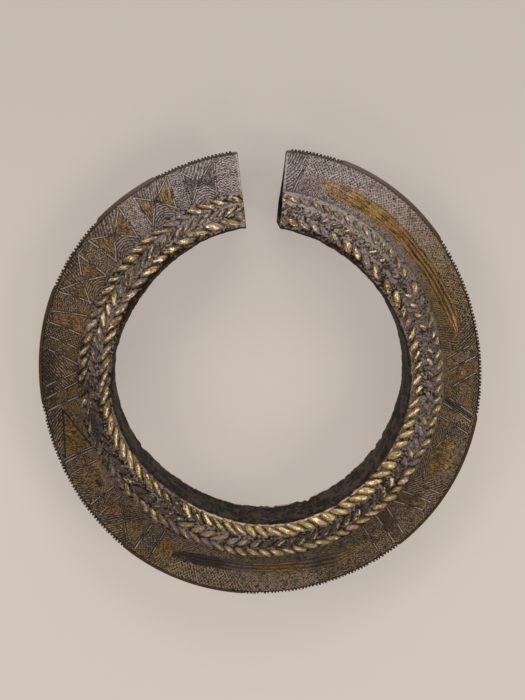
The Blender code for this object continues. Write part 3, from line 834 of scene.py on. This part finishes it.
# relief of one row over its bed: in the leaf's sheared space each is a pointed oval, half width
# fullness * (1 - v to 2.4) to 0.6 of the pitch, with a round crest sqrt(1 - t squared) that fades at both
# tips
def makeLeafRow(name, row):
    low, high = (rowEdges[edge] for edge in row["edges"])
    middle = (low + high) / 2 + row["shift"] * millimetre
    slope = math.atan2(bedHeight(high) - bedHeight(low), high - low)
    perDegree = math.radians(middle) / millimetre
    centres = [halfGap - 4 * fromTable(halfGap, row["pitch"]) / perDegree]
    while centres[-1] < 360:
        centres.append(centres[-1] + fromTable(centres[-1], row["pitch"]) / perDegree)
    chance = np.random.default_rng(row["seed"])
    count = len(centres)
    centres = np.array(centres)
    amount = {key: fromTable(centres, row[key]) for key in ("fullness", "gold", "lift", "reach", "lean")}
    fullness = np.clip(amount["fullness"] * (1.04 + chance.normal(0, 0.09, count)), 0.4, 1.05)
    gold = np.clip(amount["gold"] + chance.normal(0, 0.25, count), 0, 1)
    lift = amount["lift"] * (1 + chance.normal(0, 0.12, count))
    reach = amount["reach"] * (1 + chance.normal(0, 0.07, count))
    lean = amount["lean"] * (1 + chance.normal(0, 0.16, count))
    offset = fromTable(centres, row["place"]) + chance.normal(0, leaf["stray"], count)
    centres = centres + chance.normal(0, leaf["stray"], count) / perDegree
    angle = stations(halfGap, 360 - halfGap, leaf["spacing"], leaf["bevel"])
    span = max(value for _, value in row["reach"]) + leaf["margin"]
    turn, side = np.meshgrid(angle, np.linspace(span, -span, leaf["across"]), indexing="ij")
    degrees = np.degrees(turn)
    wobble = 0.30 * clouds(degrees * perDegree * 0.8, side * 0.9, row["seed"])
    leanHere = fromTable(degrees, row["lean"])
    phase = np.interp(degrees - (leanHere * side + wobble) / perDegree, centres, np.arange(count))
    k = np.clip(np.round(phase), 0, count - 1).astype(int)
    stray = (lean[k] - leanHere) * side / perDegree / np.gradient(centres)[k]
    v = (side - offset[k]) / reach[k]
    width = fullness[k] * np.clip(1 - np.abs(v) ** 2.4, 0, 1) ** 0.6
    t = 2 * (phase - k - stray) / np.maximum(width, 0.02)
    inside = np.clip(1 - t ** 2, 0, 1) * (width > 0.02)
    crest = np.sqrt(inside) * (1 - 0.22 * np.clip(t, -1, 1)) * np.clip(1 - v ** 4, 0, 1) ** 0.7
    bump = row["rise"] * lift[k] * crest
    degreesPerMm = 1 / perDegree
    across = middle + side * millimetre * math.cos(slope)
    lumpShare = np.zeros_like(bump)
    for place, radius, long, wide, tall in lumps:
        away = ((degrees - place) / (long * degreesPerMm)) ** 2 + ((across / millimetre - radius) / wide) ** 2
        share = np.clip(1.6 * (1 - away), 0, 1)
        bump = bump * (1 - share) + tall * share * (1 + 0.8 * clouds(degrees * 2.2, side * 2.6, 15))
        lumpShare = np.maximum(lumpShare, share)
    pits = leaf["pitting"] / millimetre * clouds(degrees * perDegree * 2.2, side * 2.6, row["seed"] + 3)
    height = millimetre * (bump + pits) - leaf["sink"] * (1 - np.sqrt(inside)) * (1 - lumpShare)
    height = height - endRound(turn, across, leaf["bevel"])
    far = across - height * math.sin(slope)
    up = bedHeight(middle) + side * millimetre * math.sin(slope) + height * math.cos(slope)
    over = np.maximum(up - leaf["wornTop"] + leaf["wornDepth"], 0)
    up = up - over + leaf["wornDepth"] * np.tanh(over / leaf["wornDepth"])
    lowSide = np.linspace(-span, span, 4) * millimetre
    under = (middle + lowSide * math.cos(slope) + leaf["under"] * math.sin(slope),
             bedHeight(middle) + lowSide * math.sin(slope) - leaf["under"] * math.cos(slope))
    marks = dict(tall=np.clip(crest * (1 - lumpShare) + 0.25 * lumpShare, 0, 1),
                 gold=gold[k] * (1 - lumpShare), tint=chance.random(count)[k],
                 foot=np.exp(-((np.abs(t) - 0.98) / 0.21) ** 2) * (width > 0.02) * (1 - lumpShare) + lumpShare,
                 sheenAndPatina=sheenAndPatinaShare(degrees), bed=fromTable(degrees, row["bed"]),
                 gloom=fromTable(degrees, row["gloom"]), acrossLeaf=np.clip(t, -3, 3), alongLeaf=v,
                 leafNumber=k * 1.0)
    return makeSlab(name, turn, far, up, under, marks)


# milled keel: small rounded teeth side by side, half sizes and place in millimetres
tooth = dict(first=7.3, pitch=0.90, rings=6, around=6, half=(0.35, 0.72, 0.95), radius=49.24, height=0.85,
             spread=0.06)


# closed ellipsoids: tangent, radial and upright half sizes on a ring just inside the keel
def makeTeeth():
    chance = np.random.default_rng(5)
    middle = np.concatenate([np.arange(max(start, tooth["first"]) + 0.4, min(end, 360 - tooth["first"]),
                                       tooth["pitch"]) for start, end in milled])
    count = len(middle)
    middle = middle + chance.normal(0, tooth["spread"], count)
    size = 1 + chance.normal(0, 0.10, (count, 1, 1))
    latitude = np.linspace(0, math.pi, tooth["rings"] + 2)[1:-1][None, :, None]
    turn = (np.arange(tooth["around"]) / tooth["around"] * 2 * math.pi)[None, None, :]
    a, b, c = tooth["half"]
    per = tooth["rings"] * tooth["around"]
    x = np.zeros((count, per + 2))
    y = np.zeros((count, per + 2))
    z = np.zeros((count, per + 2))
    x[:, :per] = (a * np.sin(latitude) * np.cos(turn) * size).reshape(count, -1)
    y[:, :per] = (b * np.sin(latitude) * np.sin(turn) * np.minimum(size, 1.0)).reshape(count, -1)
    z[:, :per] = (c * np.cos(latitude) + 0 * turn * size).reshape(count, -1)
    z[:, per:] = (c, -c)
    angle = np.radians(middle)[:, None] + x / tooth["radius"]
    points = toFrame((tooth["radius"] + y) * millimetre, angle, (tooth["height"] + z) * millimetre)
    j = np.arange(tooth["around"])
    k = (j + 1) % tooth["around"]
    lastRing = (tooth["rings"] - 1) * tooth["around"]
    top = np.stack([np.full_like(j, per), j, k], -1)
    bottom = np.stack([np.full_like(j, per + 1), lastRing + k, lastRing + j], -1)
    shift = (np.arange(count) * (per + 2))[:, None, None]
    quads = (bandFaces(tooth["rings"], tooth["around"], flip=True)[None] + shift).reshape(-1, 4)
    caps = (np.concatenate([top, bottom])[None] + shift).reshape(-1, 3)
    piece = makePiece("milledTeeth", points, quads, flat=[caps], marks=dict(tall=(z / c).reshape(-1, 1)))
    piece.data.shade_smooth()
    return piece


# colours of the metal
metal = dict(
    ground=(0.012, 0.0078, 0.0052), pale=(0.192, 0.125, 0.060), lilac=(0.340, 0.280, 0.260),
    mauve=(0.165, 0.115, 0.112),
    tawny=(0.190, 0.112, 0.036), olive=(0.165, 0.105, 0.024), orange=(0.200, 0.085, 0.024),
    violet=(0.130, 0.104, 0.115),
    gold=(0.360, 0.250, 0.085), copper=(0.420, 0.225, 0.115), bed=(0.165, 0.128, 0.110),
    highlightGold=(0.940, 0.790, 0.530), soot=(0.005, 0.004, 0.0035),
    brown=(0.052, 0.029, 0.015), dim=(0.034, 0.018, 0.009), shade=(0.085, 0.066, 0.060),
    slate=(0.056, 0.042, 0.035), grooveHighlight=(0.360, 0.295, 0.245), rimHighlightCream=(0.510, 0.415, 0.275),
)


# engraved flange: pale hatch over dark patina, streaky polished panels in olive and orange, painted shadow and
# highlight in the strokes, painted shadow in the slot hole, and lilac patina with painted sheen near the
# terminals
def flangeMetal():
    net = Net("engravedPatina")
    spot = net.place()
    cloud = net.noise(spot, 75.0)
    sheen = net.noise(spot, 190.0)
    blotch = net.noise(spot, 420.0, 4.0, 0.65)
    fine = net.noise(spot, 2700.0, 2.0)
    length = net.noise(net.along("track", (0.18, 2.4, 0.0)), 1.3, 5.0, 0.7)
    across = net.noise(net.along("track", (2.6, 0.45, 0.0)), 1.3, 5.0, 0.7)
    streak = length + (across - length) * net.mark("cross").clamp()
    shine, warmth, dark = net.mark("shine"), net.mark("warmth"), net.mark("dark")
    cut, hatch, hole, sheenAndPatina = net.mark("cut"), net.mark("hatch"), net.mark("hole"), net.mark("sheenAndPatina")
    pale = net.mix(sheen.step(0.48, 0.64) * 0.45, metal["pale"], metal["mauve"])
    pale = net.mix(net.mark("umber"), pale, metal["tawny"])
    # lilac patina with painted sheen, most near the terminals
    pale = net.mix((sheenAndPatina * 0.9 + (cloud - 0.5) * 0.5).clamp(), pale, metal["lilac"])
    wear = (hatch + (blotch - 0.5) * 0.8 + (fine - 0.5) * 2.6 - 0.02).clamp()
    # the dark ground is paler near the terminals: painted sheen with lilac patina
    ground = net.mix((sheenAndPatina * 0.4).clamp(), metal["ground"], metal["shade"])
    ground = net.mix(wear, ground, pale)
    tone = net.mix((warmth * 0.8 + (cloud - 0.5) * 1.6).clamp(), metal["olive"], metal["orange"])
    tone = net.mix((warmth * -1.5).clamp(), tone, metal["violet"])
    dull = streak + (fine - 0.5) * 0.7 - net.mark("cross").clamp() * 0.06
    polished = net.mix(dull.step(0.37, 0.56), metal["dim"], tone)
    glint = (streak + (hatch - 0.5) * 0.4 + (blotch - 0.5) * 0.5 + sheenAndPatina * 0.06).step(0.52, 0.74)
    gleam = net.mix((warmth * 0.9).clamp(), metal["gold"], metal["copper"])
    polished = net.mix(glint * (warmth * 2.0 + 1.0).clamp() * 0.6, polished, gleam)
    polished = net.mix((0.5 - hatch).clamp() * 1.6, polished, metal["brown"])
    polished = net.mix(dark.clamp() * 0.92, polished, metal["soot"])
    colour = net.mix(shine.clamp(), ground, polished)
    # painted shadow along both sides of each engraved stroke, then a painted highlight of the groove's lit
    # wall down its middle
    edge = cut.step(0.04, 0.18) - cut.step(0.42, 0.62)
    colour = net.mix(edge.clamp() * 0.95, colour, metal["soot"])
    colour = net.mix(cut.step(0.48, 0.78) * (blotch * 0.5 + 0.2), colour, metal["grooveHighlight"])
    # painted shadow: the slot hole is coloured near black
    colour = net.mix(hole.step(0.08, 0.30), colour, metal["soot"])
    rough = 0.42 - shine * 0.08 + (blotch - 0.5) * 0.3
    normal = net.bump(streak * shine + blotch * 0.6 + fine * 0.9, 0.7, 0.00018)
    return net.finish(colour, rough, shine * 0.2 + 0.45, normal, {"Specular IOR Level": 0.3})


# leaves: brown and mauve, dark round the foot, worn to gold on top with painted cream highlights along the
# crests, lilac patina and painted sheen near the terminals, with fine lines along each leaf
def leafMetal():
    net = Net("wornLeaf")
    spot = net.place()
    cloud = net.noise(spot, 160.0)
    blotch = net.noise(spot, 800.0, 4.0, 0.65)
    fine = net.noise(spot, 2700.0, 2.0)
    tall, gold, foot, tint = net.mark("tall"), net.mark("gold"), net.mark("foot"), net.mark("tint")
    sheenAndPatina, bed, side = net.mark("sheenAndPatina"), net.mark("bed"), net.mark("acrossLeaf")
    leafPlace = {0: side * 2.4, 1: net.mark("alongLeaf") * 0.7, 2: net.mark("leafNumber") * 3.7}
    grain = net.noise(net.add("ShaderNodeCombineXYZ", None, leafPlace), 1.0, 3.0, 0.6)
    speckle = (blotch - 0.5) * 2.0 + (fine - 0.5) * 1.6 + (grain - 0.5) * 2.1
    pale = net.mix(tint.step(0.35, 0.65), metal["pale"], metal["mauve"])
    # lilac patina with painted sheen near the terminals
    pale = net.mix((sheenAndPatina * (1 - bed * 0.8)).clamp(), pale, metal["lilac"])
    dull = net.mix((cloud + tint * 0.3 + speckle * 0.7 - net.mark("gloom")).step(0.25, 0.95), metal["brown"],
                   pale)
    peak = tall * tall
    worn = peak * 0.8 + gold * 0.6 + speckle * 1.3 - 0.46 - net.mark("gloom") * 0.35
    gilt = net.mix((tint * 3.7 + cloud).step(2.6, 3.4) * 0.7, metal["gold"], metal["copper"])
    colour = net.mix(worn.step(0.10, 0.60) * 0.75 * gold.step(0.0, 0.4), dull, metal["olive"])
    colour = net.mix(worn.step(0.35, 0.95) * gold.step(0.15, 0.55) * 0.9, colour, gilt)
    # painted highlight: a narrow wavy line along each leaf's crest and bright spots on the peaks, in pale gold
    ridge = 1 - ((side + (grain - 0.5) * 1.6) * (side + (grain - 0.5) * 1.6) * 5.0).clamp()
    highlightShare = (peak * 0.5 + ridge * 0.4 + gold * 0.25 + speckle * 1.3 - 0.38).step(0.60, 1.0)
    colour = net.mix(highlightShare * (gold * 0.6 + sheenAndPatina * 0.3 + 0.2).clamp(), colour, metal["highlightGold"])
    # the bed turns lilac near the terminals: lilac patina with painted sheen
    bedding = net.mix((sheenAndPatina * (bed * 1.2 - 0.2) + 0.1).clamp(), metal["bed"], metal["lilac"])
    bedShare = (blotch - 0.5) * 3.6 + (fine - 0.5) * 5.4 + bed * 0.9 - 0.1
    bedding = net.mix(bedShare.step(-0.3, 1.1), metal["ground"], bedding)
    colour = net.mix(tall.step(0.42, 0.12), colour, bedding)
    colour = net.mix(foot.clamp() * 0.85, colour, metal["ground"])
    rough = 0.42 - peak * 0.14
    normal = net.bump(blotch + fine * 0.6 + grain * 0.9, 1.0, 0.00034)
    return net.finish(colour, rough, peak * 0.5 + 0.25, normal)


# body: sooty bore with pits, grey bed between the leaves, plain brown underside, painted cream highlights
# along the rims
def bodyMetal():
    net = Net("castPatina")
    spot = net.place()
    cloud = net.noise(spot, 130.0)
    blotch = net.noise(spot, 520.0, 4.0, 0.65)
    fine = net.noise(spot, 2000.0, 2.0)
    grain = net.noise(net.along("track", (0.22, 2.6, 2.6)), 1.6, 4.0, 0.65)
    bore, bed, rim, keel = net.mark("bore"), net.mark("bed"), net.mark("rim"), net.mark("keel")
    base = net.mix((grain + (cloud - 0.5) * 0.6).step(0.35, 0.75), metal["ground"], metal["brown"])
    base = net.mix((grain * 0.6 + blotch * 0.7).step(0.62, 0.95) * 0.5, base, metal["pale"])
    bedPale = net.mark("bedPale")
    # the bed turns lilac near the terminals: lilac patina with painted sheen
    bedding = net.mix((net.mark("sheenAndPatina") * (bedPale * 1.2 - 0.2) + 0.1).clamp(), metal["bed"], metal["lilac"])
    bedShare = (blotch - 0.5) * 3.6 + (fine - 0.5) * 5.4 + bedPale * 0.9 - 0.1
    bedding = net.mix(bedShare.step(-0.3, 1.1), metal["ground"], bedding)
    base = net.mix(bed.clamp() * 0.9, base, bedding)
    edge = net.mix((blotch + (fine - 0.5) * 0.9).step(0.35, 0.85) * 0.4, metal["brown"], metal["orange"])
    # the keel edge turns lilac near the terminals: lilac patina with painted sheen
    edge = net.mix((net.mark("sheenAndPatina") * 0.5).clamp(), edge, metal["lilac"])
    base = net.mix(keel.clamp() * 0.7, base, edge)
    crust = net.noise(net.along("track", (0.9, 0.4, 0.55)), 1.0, 5.0, 0.7)
    stain = net.noise(net.along("track", (0.30, 0.2, 0.22)), 1.0, 3.0, 0.6)
    dark = net.mix((crust + (stain - 0.5) * 1.4).step(0.40, 0.68), metal["soot"], metal["slate"])
    dark = net.mix((crust * 0.7 + stain * 0.7 + (fine - 0.5) * 0.6).step(0.64, 0.86) * 0.85, dark,
                   metal["brown"])
    dark = net.mix((fine * 0.7 + crust * 0.9).step(0.92, 1.04) * 0.6, dark, metal["mauve"])
    colour = net.mix(bore.clamp(), base, dark)
    # painted cream highlight along the rims
    colour = net.mix((rim * 1.3 + (blotch - 0.5) * 2.0 - 0.25).step(0.22, 0.72) * 0.8, colour, metal["rimHighlightCream"])
    rough = 0.50 + bore * 0.10 + (cloud - 0.5) * 0.3
    normal = net.bump(blotch + fine * 0.5 + grain * 0.6 + crust * bore, 0.9, 0.0004)
    return net.finish(colour, rough, (1 - bore).clamp() * 0.4, normal, {"Specular IOR Level": 0.06})


# teeth: dark between, slightly paler tops
def toothMetal():
    net = Net("milledPatina")
    fine = net.noise(net.place(), 900.0, 3.0)
    tall = net.mark("tall")
    colour = net.mix((tall * 0.5 + (fine - 0.5) - 0.30).clamp(), metal["ground"], metal["pale"])
    return net.finish(colour, 0.5, 0.25, net.bump(fine, 0.3, 0.0001))


# card and room: size in metres
stage = dict(floorSize=6.0, cardGlow=0.60, worldStrength=0.35)

# soft lights: place, size in metres, power in watts and tint
lamps = dict(
    topSoftbox=((0.10, 1.05, 0.75), (0.9, 0.5), 9.0, (1.0, 0.985, 0.97)),
    leftSoftbox=((-0.85, 0.30, 0.85), (0.45, 0.55), 5.5, (1.0, 0.98, 0.96)),
    rightSoftbox=((0.80, -0.30, 0.95), (0.45, 0.55), 6.0, (1.0, 0.98, 0.96)),
    lowSoftbox=((-0.15, -0.95, 0.80), (0.8, 0.4), 4.5, (1.0, 0.98, 0.96)),
)


# pale card: its own faint glow is painted light that evens out the shading round the ring, and it is painted
# darker towards +Y
def floorCard():
    net = Net("paleCard")
    spot = net.place()
    # painted shade: the card's colour and glow fall off towards +Y
    far = net.add("ShaderNodeSeparateXYZ", None, {0: spot}, output="Y").step(-0.04, 0.10)
    tint = net.mix(far, (0.196, 0.172, 0.154), (0.160, 0.140, 0.125))
    glow = {"Emission Color": net.mix(far, (0.630, 0.552, 0.492), (0.545, 0.477, 0.426)),
            "Emission Strength": stage["cardGlow"]}
    return net.finish(tint, 0.9, 0.0, None, glow)


# the floor card, a hair under the ring
def makeStage():
    mesh = bpy.data.meshes.new("floor")
    half = stage["floorSize"] / 2
    corners = [(-half, -half, -0.0001), (half, -half, -0.0001), (half, half, -0.0001), (-half, half, -0.0001)]
    mesh.from_pydata(corners, [], [(0, 1, 2, 3)])
    floor = bpy.data.objects.new("floor", mesh)
    bpy.context.scene.collection.objects.link(floor)
    mesh.materials.append(floorCard())
    print("stage made")


# a rectangular soft light that looks at the ring from a place in metres
def softLight(name, at, size, power, tint):
    light = bpy.data.lights.new(name, "AREA")
    light.shape = "RECTANGLE"
    light.size, light.size_y = size
    light.energy = power
    light.color = tint
    lamp = bpy.data.objects.new(name, light)
    lamp.location = at
    lamp.rotation_euler = (Vector((0, 0, 0.01)) - Vector(at)).to_track_quat("-Z", "Y").to_euler()
    bpy.context.scene.collection.objects.link(lamp)


# the four soft lights and an even pale room
def makeLights():
    for name, (at, size, power, tint) in lamps.items():
        softLight(name, at, size, power, tint)
    world = bpy.data.worlds.new("softRoom")
    world.use_nodes = True
    back = world.node_tree.nodes["Background"]
    back.inputs["Color"].default_value = (1.0, 0.98, 0.96, 1.0)
    back.inputs["Strength"].default_value = stage["worldStrength"]
    bpy.context.scene.world = world
    print(len(lamps), "lights made")


# the camera looks down on the bangle, tilted a little towards its opening
view = dict(distance=0.466, tilt=9.3, yaw=2.0, focal=2091.0, width=525, height=700, spotX=261.7, spotY=373.5)


# a still camera: the ring's centre falls on the chosen spot of the picture
def makeCamera():
    tilt, yaw = math.radians(view["tilt"]), math.radians(view["yaw"])
    back = Vector((-math.sin(yaw) * math.cos(tilt), math.sin(tilt), math.cos(yaw) * math.cos(tilt)))
    up = (Vector((0, 1, 0)) - back * back.y).normalized()
    right = up.cross(back)
    scale = view["distance"] / view["focal"]
    heart = Vector((centreX, centreY, ring["crestHeight"]))
    place = heart + back * view["distance"]
    target = heart - right * (view["spotX"] - view["width"] / 2) * scale
    target = target + up * (view["spotY"] - view["height"] / 2) * scale
    out = (place - target).normalized()
    up = (up - out * up.dot(out)).normalized()
    right = up.cross(out)
    data = bpy.data.cameras.new("studioCamera")
    data.sensor_fit = "VERTICAL"
    data.sensor_height = 24.0
    data.lens = data.sensor_height * view["focal"] / view["height"]
    data.clip_start = 0.01
    camera = bpy.data.objects.new("studioCamera", data)
    camera.matrix_world = Matrix((right, up, out)).transposed().to_4x4()
    camera.location = place
    bpy.context.scene.collection.objects.link(camera)
    bpy.context.scene.camera = camera
    print("camera made")


makeStage()
makeLights()
makeCamera()
bpy.context.scene.view_settings.view_transform = "Standard"
makeBody().data.materials.append(bodyMetal())
flangeFinish = flangeMetal()
for arcName, (arcStart, arcEnd) in flangeArcs.items():
    makeFlange(arcName, arcStart, arcEnd).data.materials.append(flangeFinish)
leafFinish = leafMetal()
for rowName, rowValues in leafRows.items():
    makeLeafRow(rowName, rowValues).data.materials.append(leafFinish)
makeTeeth().data.materials.append(toothMetal())
